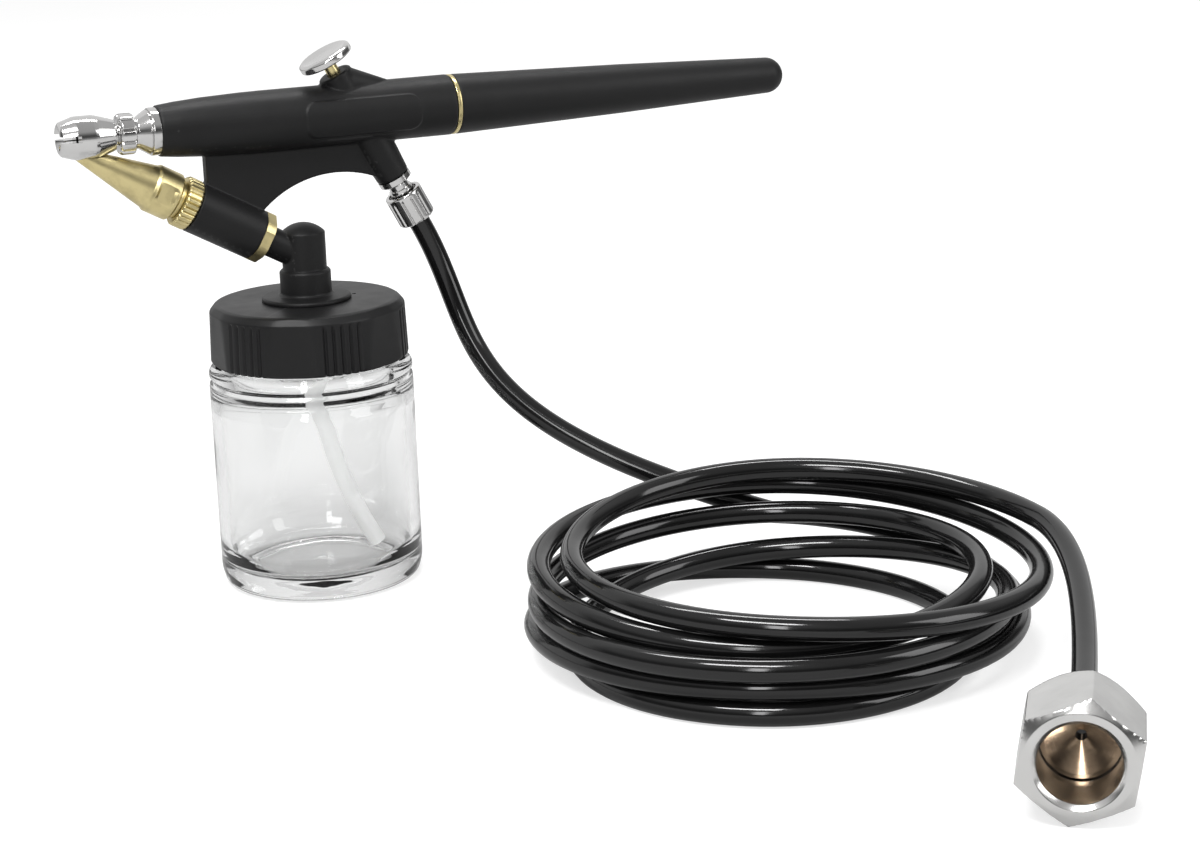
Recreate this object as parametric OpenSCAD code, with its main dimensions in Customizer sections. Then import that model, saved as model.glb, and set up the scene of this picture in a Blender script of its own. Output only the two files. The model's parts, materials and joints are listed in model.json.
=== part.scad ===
// Single-action airbrush: moulded pistol body, external-mix tip, screw-on jar and coiled air hose.
// Millimetres, +Z up. The origin is the centre of the jar's foot, and the gun's own plane is y = 0.
// +X runs from the nozzle to the handle. The jar, the coil and the supply nut all rest on z = 0.

/* [Gun] */
// Height of the nozzle and handle axis
gun_h = 85.4; // [85.4:0.1:86]
// Diameter of the moulded body
body_d = 11; // [10.8:0.1:11.4]
// Front face of the moulded body
body_front = -25.4; // [-26:0.2:-25]
// Rear face of the moulded body
body_rear = 29.2; // [28:0.2:31]
// Diameter of the polished nozzle flange
flange_d = 8.4; // [8:0.1:8.6]
// Width of the brass ring between body and handle
ring_w = 0.8; // [0.6:0.1:1.2]
// Length of the screw-on handle
handle_len = 67.9; // [60:0.1:75]
// Diameter of the handle near its rounded end
handle_end_d = 6.8; // [6.6:0.1:8]

/* [Trigger and air valve] */
// Where the valve axis crosses the gun axis
valve_x = 11.5; // [11.2:0.1:12]
// Lean of the valve axis towards the nozzle
valve_tilt = 27.5; // [26:0.5:29]
// Diameter of the trigger button
button_d = 10; // [8:0.5:12]
// Outside diameter of the air stem
stem_d = 6.4; // [6.2:0.1:7]

/* [Paint tip] */
// Angle of the tip axis below the horizontal
tip_tilt = 29.5; // [29:0.5:30]
// Height at which the tip axis crosses the jar axis
tip_cross_h = 60.3; // [60:0.1:60.4]
// Diameter of the moulded holder tube
holder_d = 9.25; // [9:0.05:9.6]
// Diameter of the paint tip's shoulder
shoulder_d = 8.7; // [8.6:0.1:9]
// Grooves round the lock ring
lock_grooves = 30; // [20:1:36]

/* [Jar] */
// Outside diameter of the glass
jar_d = 37.2; // [36.4:0.1:38]
// Height of the glass up to its shoulder groove
jar_wall_h = 38.4; // [36:0.2:38.4]
// Thickness of the glass wall
glass_t = 1.9; // [1.5:0.1:2.5]
// Outside diameter of the lid
lid_d = 36; // [35.6:0.1:38]
// Bottom and top of the lid
lid_z = [41.8, 52.5];

/* [Hose] */
// Outside diameter of the hose
hose_d = 4; // [3.9:0.1:4]
// Centre of the coil on the floor
coil_at = [55, -76];
// Half widths of the coil across and along its long direction
coil_r = [38.5, 35.5];
// Turn of the coil's long direction about the vertical
coil_turn = -28; // [-32:1:-24]

/* [Supply nut] */
// Distance across the nut's flats
supply_af = 17; // [16:0.5:18]
// Length of the nut
supply_len = 15; // [14:0.5:18]
// Radius of the nut's threaded bore
supply_bore_r = 6; // [5.6:0.1:6.2]
// Plan position of the nut's mouth
supply_at = [56.2, -163.65];
// Bearing of the nut's axis from +Y towards +X
supply_bearing = 35.7; // [34:0.1:38]
// Roll of the hexagon from flat
supply_roll = 8.5; // [0:0.5:15]

/* [Hidden] */
$fn = 64;
eps = 0.01;
gap = 0.05;
body_r = body_d / 2;
jar_r = jar_d / 2;
lid_r = lid_d / 2;
hose_r = hose_d / 2;
button_r = button_d / 2;
ring_r = 5.45;
stud_r = 3;

black = [0.08, 0.08, 0.085];
chrome = [0.8, 0.8, 0.82];
brass = [0.78, 0.68, 0.38];
rubber = [0.15, 0.15, 0.15];
glass = [0.85, 0.92, 0.95, 0.4];

// Stations along the gun axis, from the nozzle back
cap_front = -42.8;
cap_rear = -33;
collar_front = -32.4;
collar_rear = -29.6;
cone_front = -29;
flange_front = -27;
nozzle_tail = -17;
handle_front = body_rear + ring_w + 0.02;
handle_rear = handle_front + handle_len;

// Stations along the valve axis, measured down from the gun axis
boss_top = -8.4;
button_base = -10.7;
button_t = 1.8;
seat_top = 4;
seat_t = 1.5;
stem_end = 13.64;
screw_flange_t = 1.4;
nut_mouth = 17.1;
nut_len = 5.85;
hose_start = 18.6;
valve_bore_r = 2.1;
trigger_pin_r = 1.2;
trigger_pin_end = 1.5;

// Stations along the tip axis, measured from its crossing with the jar axis
nose_at = -48.8;
cone_base = -31.6;
shoulder_rear = -26.6;
neck_rear = -25.75;
lock_front = -25.7;
holder_front = -22.8;
holder_rear = -10.05;
rear_nut_end = -8.15;
tube_r = 3.15;
elbow_spigot_r = 2.2;

// Heights on the jar axis
bead_top = 41.2;
neck_top = 50.55;
neck_r = 16;
lid_inner_top = 51;
collar_r = 4.65;
elbow_r = 4;
elbow_top = 66.6;
tail_r = 2.9;
tail_end = 46;
tube_top = 50.3;
siphon_r = 1.6;
siphon_bend_r = 85;
siphon_top = 46.9;
siphon_end = 4.8;

// ---- Frames: each places its children with local +Z along one of the object's axes ----

// Local +Z towards the handle, local z equal to the row's x
module along_gun() {
  translate([0, 0, gun_h]) rotate([0, 90, 0]) children();
}

// Local +Z down the valve axis, local zero on the gun axis
module along_valve() {
  translate([valve_x, 0, gun_h]) rotate([0, 180 - valve_tilt, 0]) children();
}

// Local +Z from the paint tip's nose down to the elbow, local zero on the jar axis
module along_tip() {
  translate([0, 0, tip_cross_h]) rotate([0, 90 + tip_tilt, 0]) children();
}

// Local +Z from the supply nut's mouth back to the hose, local zero at the mouth
module along_supply() {
  translate(supply_mouth) rotate([-90, 0, -supply_bearing]) children();
}

// ---- Shapes used more than once ----

// Solid of revolution about local +Z from [radius, z] points
module turned(points) {
  rotate_extrude($fn = 96) polygon(points);
}

// Cylinder between two stations of a local axis
module rod(r, from, to) {
  translate([0, 0, from]) cylinder(r = r, h = to - from);
}

// Ring between two stations of a local axis
module sleeve(outer, inner, from, to) {
  difference() {
    rod(outer, from, to);
    rod(inner, from - 1, to + 1);
  }
}

// Rubber ring of round section
module o_ring(mid_r, wire_r, at) {
  translate([0, 0, at]) rotate_extrude($fn = 64) translate([mid_r, 0]) circle(r = wire_r, $fn = 32);
}

// Straight grooves round a ring: one cutter at each of count places
module grooves(count, r, width, from, to, depth) {
  for (i = [0 : count - 1])
    rotate([0, 0, i * 360 / count]) translate([r - depth, -width / 2, from])
      cube([depth + 1, width, to - from]);
}

// ---- Moulded body ----

body_profile = [
  [0, body_front], [4.35, body_front], [4.5, body_front + 0.2],
  [4.85, -22], [5.2, -17], [body_r - 0.05, -10], [body_r, -6],
  [body_r, body_rear - 0.2], [body_r - 0.2, body_rear], [0, body_rear]
];

// Flat web that joins the barrel, the holder tube and the air stem
web_t = 2.6;
arch_r = 20;
arch_x = 6.5;
arch_top = 75.15;
module web() {
  rotate([90, 0, 0]) translate([0, 0, -web_t / 2]) linear_extrude(web_t) difference() {
    polygon([
      [-17.3, gun_h - 4], [-17.3, 70], [-8.6, 65.6], [-6.4, 69.6], [-2, 72], [15.5, 73.5], [17.5, gun_h - 4]
    ]);
    translate([arch_x, arch_top - arch_r]) circle(r = arch_r, $fn = 128);
  }
}

// Raised plain panels on both sides of the barrel
panel_x = [0.5, 22];
panel_h = 6.4;
panel_rise = 0.22;
panel_corner = 2;
module side_panels() {
  length = panel_x[1] - panel_x[0];
  inset = panel_corner;
  intersection() {
    along_gun() rod(body_r + panel_rise, panel_x[0], panel_x[1]);
    translate([panel_x[0], 10, gun_h - panel_h / 2]) rotate([90, 0, 0]) linear_extrude(20) {
      translate([inset, 0]) square([length - 2 * inset, panel_h]);
      translate([0, inset]) square([length, panel_h - 2 * inset]);
      for (x = [inset, length - inset], y = [inset, panel_h - inset]) translate([x, y]) circle(r = inset);
    }
  }
}

// Boss that guides the trigger, with a ridge running back to the barrel
boss_r = 3.15;
ridge_start = [9, gun_h + 5.9];
ridge_start_r = 2.9;
ridge_end_r = 1.2;
ridge_end = [18.3, gun_h + body_r - 1.5];
module trigger_boss() {
  run = ridge_end - ridge_start;
  along_valve() {
    rod(boss_r, boss_top + 0.3, 0);
    translate([0, 0, boss_top]) cylinder(r1 = boss_r - 0.3, r2 = boss_r, h = 0.3);
  }
  translate([ridge_start[0], 0, ridge_start[1]]) rotate([0, 90 - atan2(run[1], run[0]), 0]) {
    cylinder(r1 = ridge_start_r, r2 = ridge_end_r, h = norm(run));
    translate([0, 0, norm(run)]) sphere(r = ridge_end_r);
    // Flat sides under the round top, down into the barrel
    rotate([0, 90, 0]) rotate([0, 0, 90]) linear_extrude(3) polygon([
      [-ridge_start_r + 0.05, 0], [ridge_start_r - 0.05, 0],
      [ridge_end_r - 0.05, norm(run)], [-ridge_end_r + 0.05, norm(run)]
    ]);
  }
}

module air_stem() {
  along_valve() {
    rod(stem_d / 2 + 0.15, 0, 9);
    translate([0, 0, 9]) cylinder(r1 = stem_d / 2 + 0.15, r2 = stem_d / 2 - 0.1, h = stem_end - 9.3);
    translate([0, 0, stem_end - 0.3]) cylinder(r1 = stem_d / 2 - 0.1, r2 = stem_d / 2 - 0.4, h = 0.3);
  }
}

trigger_seal_at = -5;
module body_shell() {
  color(black) difference() {
    union() {
      along_gun() turned(body_profile);
      web();
      side_panels();
      trigger_boss();
      air_stem();
      along_tip() rod(holder_d / 2, holder_front, holder_rear);
    }
    // Air way from the valve to the nozzle
    along_gun() rod(1, body_front - 1, valve_x);
    along_gun() rod(2.5, body_front - 1, nozzle_tail);
    // Socket for the handle stud
    along_gun() rod(stud_r, body_rear - 8, body_rear + 1);
    // Valve chamber and trigger guide
    along_valve() rod(valve_bore_r, 0, stem_end + 1);
    along_valve() rod(trigger_pin_r + gap, boss_top - 1, 1);
    along_valve() rod(1.85, trigger_seal_at - 0.55, trigger_seal_at + 0.55);
    // Bore for the brass fluid tube
    along_tip() rod(tube_r + eps, holder_front - 1, holder_rear + 1);
  }
}

// ---- Handle ----

module handle_stud() {
  color(brass) along_gun() difference() {
    rod(stud_r - eps, body_rear - 7.9, body_rear + 7);
    rod(1.2, body_rear - 9, body_rear + 8);
  }
}

module handle_ring() {
  color(brass) along_gun() sleeve(ring_r, stud_r + gap, body_rear + eps, body_rear + eps + ring_w);
}

handle_mid_x = 64;
handle_mid_r = 4.55;
handle_wall = 1.7;
module handle() {
  end_r = handle_end_d / 2;
  color(black) along_gun() difference() {
    union() {
      turned([
        [0, handle_front], [5.25, handle_front], [5.45, handle_front + 0.3],
        [handle_mid_r, handle_mid_x], [end_r, handle_rear - end_r], [0, handle_rear - end_r]
      ]);
      translate([0, 0, handle_rear - end_r]) rotate_extrude($fn = 64) intersection() {
        circle(r = end_r, $fn = 64);
        translate([0, -1]) square([end_r, end_r + 1]);
      }
    }
    rod(stud_r + gap, handle_front - 1, handle_front + 8.5);
    turned([
      [0, handle_front + 8], [stud_r, handle_front + 8], [handle_mid_r - handle_wall, handle_mid_x],
      [end_r - handle_wall, handle_rear - 8], [0, handle_rear - 6.5]
    ]);
  }
}

// ---- Nozzle ----

base_neck_r = 1.8;
base_neck_front = -36;
module nozzle_base() {
  color(chrome) along_gun() difference() {
    turned([
      [0, base_neck_front], [base_neck_r, base_neck_front], [base_neck_r, -32.6], [2, -32.5],
      [2, cone_front - 0.5], [2.75, cone_front - 0.5], [2.75, cone_front], [3.95, flange_front - 0.1],
      [3.7, flange_front], [3.7, flange_front + 0.15],
      [flange_d / 2 - 0.15, flange_front + 0.15], [flange_d / 2, flange_front + 0.3],
      [flange_d / 2, body_front - 0.05], [flange_d / 2 - 0.03, body_front - eps], [2.48, body_front - eps],
      [2.48, nozzle_tail - 1.1], [0, nozzle_tail - 1.1]
    ]);
    rod(0.9, base_neck_front - 1, nozzle_tail + 1);
    rod(1.55, body_front + 4, nozzle_tail);
  }
}

collar_teeth = 10;
collar_ring_r = 3.6;
module nozzle_collar() {
  color(chrome) along_gun() difference() {
    turned([
      [2 + eps, collar_front], [collar_ring_r - 0.35, collar_front], [collar_ring_r, collar_front + 0.4],
      [collar_ring_r, collar_rear - 0.25], [collar_ring_r - 0.25, collar_rear], [2 + eps, collar_rear]
    ]);
    grooves(collar_teeth, collar_ring_r, 0.6, collar_front - 1, collar_rear + 1, 0.45);
  }
}

cap_slot_h = 1.1;
nose_room = 0.35;
module air_cap() {
  color(chrome) difference() {
    along_gun() difference() {
      turned([
        [0, cap_front], [2.5, cap_front], [3, cap_front + 0.35], [3.8, cap_front + 2.9], [3.8, -36.9],
        [3.7, -36.2], [2.85, cap_rear - 0.4], [2.7, cap_rear], [0, cap_rear]
      ]);
      rod(base_neck_r + eps, base_neck_front - 0.05, cap_rear + 1);
      rod(0.9, cap_front - 1, cap_rear);
      translate([0, 0, cap_front - eps]) cylinder(r1 = 1.9, r2 = 1.3, h = 1.2);
    }
    // Cross slot in the crown
    translate([cap_front - 1, -5, gun_h - 0.3]) cube([4.4, 10, cap_slot_h]);
    // Way for the paint tip's nose, with room for its screw travel
    along_tip() rod(nose_r + nose_room, nose_at - 3, nose_at + eps);
    along_tip() translate([0, 0, nose_at])
      cylinder(r1 = nose_r + nose_room, r2 = nose_r + nose_room + 12 * tip_slope, h = 12);
  }
}

module air_jet() {
  color(brass) along_gun() sleeve(0.88, 0.4, base_neck_front - 1.6, base_neck_front - 0.1);
}

module nozzle_seal() {
  color(rubber) along_gun() sleeve(2.45, 1, nozzle_tail - 1.05, nozzle_tail - 0.05);
}

// ---- Trigger and valve ----

module trigger_button() {
  color(chrome) along_valve() difference() {
    turned([
      [0, button_base], [1.9, button_base], [2.4, button_base - 0.2], [button_r - 0.2, button_base - 0.25],
      [button_r, button_base - 0.45], [button_r, button_base - 1.4],
      [button_r - 0.6, button_base - button_t], [2.6, button_base - button_t + 0.25],
      [0, button_base - button_t + 0.4]
    ]);
    rod(trigger_pin_r - 0.2, button_base - 1.1, button_base + 1);
  }
}

module trigger_stem() {
  color(brass) along_valve() {
    rod(trigger_pin_r, button_base + eps, trigger_pin_end);
    rod(trigger_pin_r - 0.21, button_base - 1.05, button_base + 0.5);
  }
}

module trigger_seal() {
  color(rubber) along_valve() o_ring(1.53, 0.28, trigger_seal_at);
}

module valve_seat() {
  color(brass) along_valve() sleeve(valve_bore_r - eps, 0.8, seat_top, seat_top + seat_t);
}

head_top = seat_top + seat_t + 0.02;
module valve_plunger() {
  color(brass) along_valve() turned([
    [0, trigger_pin_end + 0.02], [0.7, trigger_pin_end + 0.02], [0.7, head_top], [1.5, head_top],
    [1.5, head_top + 1.2], [0.7, head_top + 1.2], [0.7, head_top + 3], [0, head_top + 3.2]
  ]);
}

spring_turns = 5;
spring_mid_r = 1.25;
spring_wire_r = 0.22;
spring_from = head_top + 1.45;
spring_to = 11.25;
spring_steps = 16;
spring_sides = 6;
module valve_spring() {
  count = spring_turns * spring_steps;
  path = [for (i = [0 : count]) let (a = i * 360 / spring_steps)
    [spring_mid_r * cos(a), spring_mid_r * sin(a), spring_from + (spring_to - spring_from) * i / count]];
  color(chrome) along_valve() tube_along(path, spring_wire_r, spring_sides);
}

module valve_screw() {
  flange_at = stem_end + eps;
  color(chrome) along_valve() difference() {
    turned([
      [0, 11.5], [valve_bore_r - eps, 11.5], [valve_bore_r - eps, stem_end + eps], [3.1, flange_at],
      [3.1, flange_at + screw_flange_t - 0.4], [2.5, flange_at + screw_flange_t],
      [1.9, flange_at + screw_flange_t], [1.9, 16.2], [2.2, 16.2], [2.2, 17.4],
      [1.2, 17.4], [1.2, 22.5], [0, 22.5]
    ]);
    rod(0.6, 11, 23);
  }
}

module valve_washer() {
  color(rubber) along_valve() sleeve(1.19, 0.7, 11.3, 11.48);
}

// ---- Hose and its fittings ----

nut_flutes = 12;
module hose_nut() {
  color(chrome) along_valve() difference() {
    turned([
      [hose_r + gap, nut_mouth], [3.3, nut_mouth], [3.5, nut_mouth + 0.25],
      [3.5, nut_mouth + nut_len - 0.25], [3.25, nut_mouth + nut_len], [hose_r + gap, nut_mouth + nut_len]
    ]);
    rod(2.75, nut_mouth - 1, nut_mouth + 1.3);
    grooves(nut_flutes, 3.5, 0.4, nut_mouth + 0.9, nut_mouth + nut_len + 1, 0.25);
  }
}

// The hose is one sweep: a lead down from the gun, a five-turn coil and a lead to the supply nut.
// The coil is counted in turns s from the back, clockwise from above. Each row of these two tables is
// one turn, met at its back, right, front and left: how far the strand lies outside the coil's ellipse,
// and how high it rides above the floor. The second turn is the small one that lies on the floor.
coil_out = [
  [5.2, 2.4, 1.2, 1.9],
  [0, -6.5, 1.4, -5],
  [-1.6, 0.2, 3.9, 1],
  [1, -4, -1, 1.2],
  [4.2, 6, 0.4, -4.6],
  [0.2, 10.5]
];
coil_rise = [
  [9, 4, 4.1, 3.2],
  [0, 0, 0, 0],
  [4.1, 8, 8.1, 8],
  [10.4, 11.8, 9.7, 13],
  [15, 11.4, 13.8, 15.4],
  [18.7, 15.4]
];
coil_turns = 5.2;
ring_step = 1 / 34;
lead_steps = 22;
tail_steps = 14;
hose_sides = 14;
gun_reach = 26;
gun_rise = 16;
coil_reach = 62;
tail_reach = 17;
nut_reach = 30;

// Value at x on a smooth curve through the numbers of v, which stand at x = 0, 1, 2 and so on
function through(v, x) =
  let (
    i = min(floor(x + eps), len(v) - 2),
    t = x - i,
    before = v[max(i - 1, 0)],
    after = v[min(i + 2, len(v) - 1)],
    bend = 2 * before - 5 * v[i] + 4 * v[i + 1] - after,
    turn = 3 * v[i] - before - 3 * v[i + 1] + after
  )
  v[i] + t / 2 * (v[i + 1] - before + t * (bend + t * turn));

coil_outs = [for (row = coil_out) each row];
coil_rises = [for (row = coil_rise) each row];
function coil_point(s) =
  let (
    a = 90 - 360 * s,
    out = through(coil_outs, 4 * s),
    across = (coil_r[0] + out) * cos(a),
    along = (coil_r[1] + out) * sin(a)
  )
  [
    coil_at[0] + across * cos(coil_turn) - along * sin(coil_turn),
    coil_at[1] + across * sin(coil_turn) + along * cos(coil_turn),
    hose_r + gap + through(coil_rises, 4 * s)
  ];

function unit(v) = v / norm(v);
function bezier(p, t) =
  pow(1 - t, 3) * p[0] + 3 * t * pow(1 - t, 2) * p[1] + 3 * t * t * (1 - t) * p[2] + t * t * t * p[3];

valve_dir = [sin(valve_tilt), 0, -cos(valve_tilt)];
supply_dir = [sin(supply_bearing), cos(supply_bearing), 0];
supply_corner_r = supply_af / 2 / cos(30);
supply_mouth = [supply_at[0], supply_at[1], supply_corner_r * cos(supply_roll)];
function valve_point(t) = [valve_x, 0, gun_h] + t * valve_dir;
function supply_point(t) = supply_mouth + t * supply_dir;

nipple_end = 13;
hose_path = let (
  tiny = 0.001,
  first = coil_point(0),
  first_dir = unit(coil_point(tiny) - first),
  last = coil_point(coil_turns),
  last_dir = unit(last - coil_point(coil_turns - tiny)),
  from_gun = valve_point(nut_mouth + nut_len + 1),
  lead = [from_gun, from_gun + gun_reach * valve_dir,
    first - coil_reach * first_dir + [0, 0, gun_rise], first],
  to_nut = supply_point(supply_len + 1),
  tail = [last, last + tail_reach * last_dir, to_nut + nut_reach * supply_dir, to_nut]
)
[
  valve_point(hose_start),
  for (i = [0 : lead_steps - 1]) bezier(lead, i / lead_steps),
  for (s = [0 : ring_step : coil_turns - ring_step / 2]) coil_point(s),
  for (i = [0 : tail_steps]) bezier(tail, i / tail_steps),
  supply_point(nipple_end + 0.1)
];

// Solid tube of a given radius and number of sides along a list of points, kept from twisting
function turn_frames(path, i, side) =
  i >= len(path) ? [] :
  let (
    ahead = unit(path[min(i + 1, len(path) - 1)] - path[max(i - 1, 0)]),
    flat = unit(side - (side * ahead) * ahead)
  )
  concat([[ahead, flat]], turn_frames(path, i + 1, flat));

module tube_along(path, r, sides) {
  start_dir = unit(path[1] - path[0]);
  helper = abs(start_dir[2]) < 0.9 ? [0, 0, 1] : [0, 1, 0];
  frames = turn_frames(path, 0, unit(cross(start_dir, helper)));
  points = [
    for (i = [0 : len(path) - 1]) let (side = frames[i][1], up = cross(frames[i][0], side))
      for (k = [0 : sides - 1]) let (a = 360 * k / sides)
        path[i] + r * (cos(a) * side + sin(a) * up)
  ];
  walls = [
    for (i = [0 : len(path) - 2]) for (k = [0 : sides - 1]) let (
      a = i * sides + k, b = i * sides + (k + 1) % sides
    ) each [[a, a + sides, b], [b, a + sides, b + sides]]
  ];
  last_ring = (len(path) - 1) * sides;
  polyhedron(points, concat(
    walls,
    [[for (k = [0 : sides - 1]) k]],
    [[for (k = [sides - 1 : -1 : 0]) last_ring + k]]
  ));
}

module hose() {
  color(black) tube_along(hose_path, hose_r, hose_sides);
}

module supply_nipple() {
  color(brass) along_supply() difference() {
    turned([
      [0, 9.6], [5.85, 9.6], [5.85, 12.3], [1.95, 12.3], [1.95, nipple_end], [1.15, nipple_end],
      [1.15, nipple_end + 5.5], [0, nipple_end + 5.5]
    ]);
    translate([0, 0, 9.6 - eps]) cylinder(r1 = 5.2, r2 = 0.85, h = 2.2);
    rod(0.85, 9, nipple_end + 6);
  }
}

supply_chamfer_r = 7.9;
module supply_nut() {
  color(chrome) along_supply() difference() {
    intersection() {
      rotate([0, 0, 30 + supply_roll]) cylinder(r = supply_corner_r, h = supply_len, $fn = 6);
      turned([
        [0, 0], [supply_chamfer_r, 0], [supply_corner_r + 0.3, 1.25], [supply_corner_r + 0.3, supply_len - 3],
        [supply_corner_r - 1.4, supply_len], [0, supply_len]
      ]);
    }
    rod(supply_bore_r, -1, 9.2);
    rod(supply_bore_r + 0.25, 9.1, 12.6);
    translate([0, 0, -eps]) cylinder(r1 = supply_bore_r + 0.75, r2 = supply_bore_r, h = 0.75);
    rod(hose_r + gap, 12, supply_len + 1);
  }
}

module supply_washer() {
  color(rubber) along_supply() sleeve(5.85, 2.15, 12.32, 12.55);
}

// ---- Paint tip, holder and jar ----

nose_r = 0.4;
tip_slope = (shoulder_d / 2 - 0.35 - nose_r) / (cone_base - nose_at);
cavity_front = -46;
module paint_tip() {
  groove = -28.3;
  bore_r = 0.26;
  shoulder_r = shoulder_d / 2;
  color(brass) along_tip() difference() {
    turned([
      [0, nose_at], [nose_r, nose_at], [shoulder_r - 0.35, cone_base], [shoulder_r, cone_base + 0.5],
      [shoulder_r, shoulder_rear - 0.35], [shoulder_r - 0.3, shoulder_rear], [3.45, shoulder_rear],
      [3.45, neck_rear], [0, neck_rear]
    ]);
    rod(tube_r + gap, -30.6, neck_rear + 1);
    translate([0, 0, cavity_front]) cylinder(r1 = bore_r, r2 = 2.9, h = -30.5 - cavity_front);
    rod(bore_r, nose_at - 1, cavity_front + eps);
    rod(3.9, groove - 0.42, groove + 0.42);
    // Two spanner flats
    for (side = [-1, 1]) translate([-5, side > 0 ? 3.95 : -6.95, cone_base + 0.6]) cube([10, 3, 3.2]);
  }
}

module tip_o_ring() {
  color(rubber) along_tip() o_ring(3.53, 0.33, -28.3);
}

module tip_needle() {
  color(chrome) along_tip() difference() {
    turned([
      [0, nose_at - 0.35], [0.05, nose_at - 0.35], [0.2, nose_at + 0.7], [0.2, -40], [0.34, -39],
      [0.34, -34], [0.9, -32.5], [2.2, -30.4], [2.2, -27.5], [0, -27.5]
    ]);
    for (a = [0, 120, 240]) rotate([0, 0, a]) translate([1.1, -0.5, -33]) cube([2, 1, 7]);
  }
}

module fluid_tube() {
  color(brass) along_tip() difference() {
    rod(tube_r, -30.4, holder_rear);
    rod(2.2 + eps, -31, -27.4);
    rod(1.3, -28, holder_rear + 1);
    rod(elbow_spigot_r + gap, -16, holder_rear + 1);
  }
}

module lock_ring() {
  color(brass) along_tip() difference() {
    turned([
      [tube_r + gap, lock_front], [4.35, lock_front], [4.65, lock_front + 0.3],
      [4.65, holder_front - 0.35], [4.35, holder_front - 0.05], [tube_r + gap, holder_front - 0.05]
    ]);
    grooves(lock_grooves, 4.65, 0.32, lock_front - 1, holder_front + 1, 0.28);
  }
}

module rear_nut() {
  color(brass) along_tip() difference() {
    union() {
      intersection() {
        translate([0, 0, holder_rear + eps]) cylinder(r = 5.1, h = 1.75, $fn = 6);
        rod(4.65, holder_rear, holder_rear + 2);
      }
      turned([[0, holder_rear + 1.6], [3.4, holder_rear + 1.6], [3.2, rear_nut_end], [0, rear_nut_end]]);
    }
    rod(elbow_spigot_r + gap, holder_rear - 1, rear_nut_end + 1);
  }
}

module jar_elbow() {
  flange_z = lid_z[1] + 0.03;
  color(black) difference() {
    union() {
      rod(elbow_r, flange_z, elbow_top - elbow_r * 0.55);
      intersection() {
        rod(elbow_r, 60, elbow_top);
        translate([0, 0, elbow_top - 5.4]) sphere(r = 5.4, $fn = 96);
      }
      turned([
        [0, flange_z], [8.1, flange_z], [8.1, flange_z + 0.5], [7.8, flange_z + 0.8],
        [collar_r + 0.4, flange_z + 0.95], [collar_r, flange_z + 1.3], [collar_r, 57.7],
        [collar_r - 0.35, 58.1], [0, 58.1]
      ]);
      along_tip() rod(2.75, rear_nut_end + 0.06, 0);
      along_tip() rod(elbow_spigot_r, -15.5, 0);
      rod(tail_r, tail_end, 60);
    }
    rod(0.9, tail_end - 1, tip_cross_h);
    along_tip() rod(0.9, -17, 0);
    rod(siphon_r + eps, tail_end - 1, tube_top);
  }
}

module elbow_clip() {
  color(black) sleeve(5.2, tail_r + eps, lid_inner_top - 1.2, lid_inner_top - 0.05);
}

module siphon_tube() {
  sweep_angle = asin((siphon_top - siphon_end) / siphon_bend_r);
  color([0.9, 0.92, 0.9, 0.7]) {
    difference() {
      rod(siphon_r, siphon_top, tube_top - 0.1);
      rod(0.95, 40, tube_top + 1);
    }
    translate([siphon_bend_r, 0, siphon_top]) rotate([90, 0, 0])
      rotate_extrude(angle = sweep_angle, start = 180, $fn = 96)
      translate([siphon_bend_r, 0]) difference() {
        circle(r = siphon_r, $fn = 48);
        circle(r = 0.95, $fn = 48);
      }
  }
}

lid_groups = 6;
lid_group_grooves = 5;
lid_group_start = 32;
lid_groove_step = 5.2;
lid_flat_r = lid_r - 0.55;
module jar_lid() {
  color(black) difference() {
    turned([
      [neck_r + 0.08, lid_z[0]], [lid_r - 0.3, lid_z[0]], [lid_r, lid_z[0] + 0.35],
      [lid_r - 0.35, lid_z[1] - 1.3], [lid_r - 1.3, lid_z[1] - 0.25], [lid_r - 2, lid_z[1]],
      [tail_r + gap, lid_z[1]], [tail_r + gap, lid_inner_top], [neck_r + 0.08, lid_inner_top]
    ]);
    for (g = [0 : lid_groups - 1]) rotate([0, 0, lid_group_start + g * 360 / lid_groups]) {
      for (i = [0 : lid_group_grooves - 1])
        rotate([0, 0, (i - (lid_group_grooves - 1) / 2) * lid_groove_step])
        translate([lid_r + 0.15, 0, lid_z[0] - 1])
        cylinder(r = 0.55, h = lid_z[1] - lid_z[0] - 0.6, $fn = 24);
      // Flat between this group of grooves and the next
      rotate([0, 0, 180 / lid_groups]) translate([lid_flat_r, -6, lid_z[0] - 1])
        cube([2, 12, lid_z[1] - lid_z[0] + 2]);
    }
    // Vent
    rotate([0, 0, -3]) translate([8.9, 0, lid_inner_top - 1]) cylinder(r = 0.4, h = 4);
  }
}

module lid_gasket() {
  color(rubber) sleeve(neck_r - 0.2, 10, neck_top + 0.03, lid_inner_top - 0.03);
}

module glass_jar() {
  inner_r = jar_r - glass_t;
  foot_t = 3.4;
  color(glass) turned([
    [0, 0.6], [jar_r - 5, 0.6], [jar_r - 4, 0], [jar_r - 2.2, 0], [jar_r - 0.9, 0.5], [jar_r - 0.2, 1.6],
    [jar_r, 3], [jar_r, jar_wall_h - 0.4], [jar_r - 0.7, jar_wall_h], [jar_r - 0.7, jar_wall_h + 0.2],
    [jar_r - 0.1, jar_wall_h + 0.7], [jar_r, jar_wall_h + 1.4], [jar_r - 0.5, bead_top - 0.3],
    [jar_r - 1.4, bead_top], [neck_r, bead_top], [neck_r, neck_top - 0.4], [neck_r - 0.4, neck_top],
    [neck_r - 2.2, neck_top], [neck_r - 2.4, neck_top - 0.4], [neck_r - 2.4, jar_wall_h],
    [inner_r, jar_wall_h - 2.5], [inner_r, foot_t + 1.6], [inner_r - 0.6, foot_t + 0.5],
    [inner_r - 2, foot_t], [0, foot_t]
  ]);
}

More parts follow.
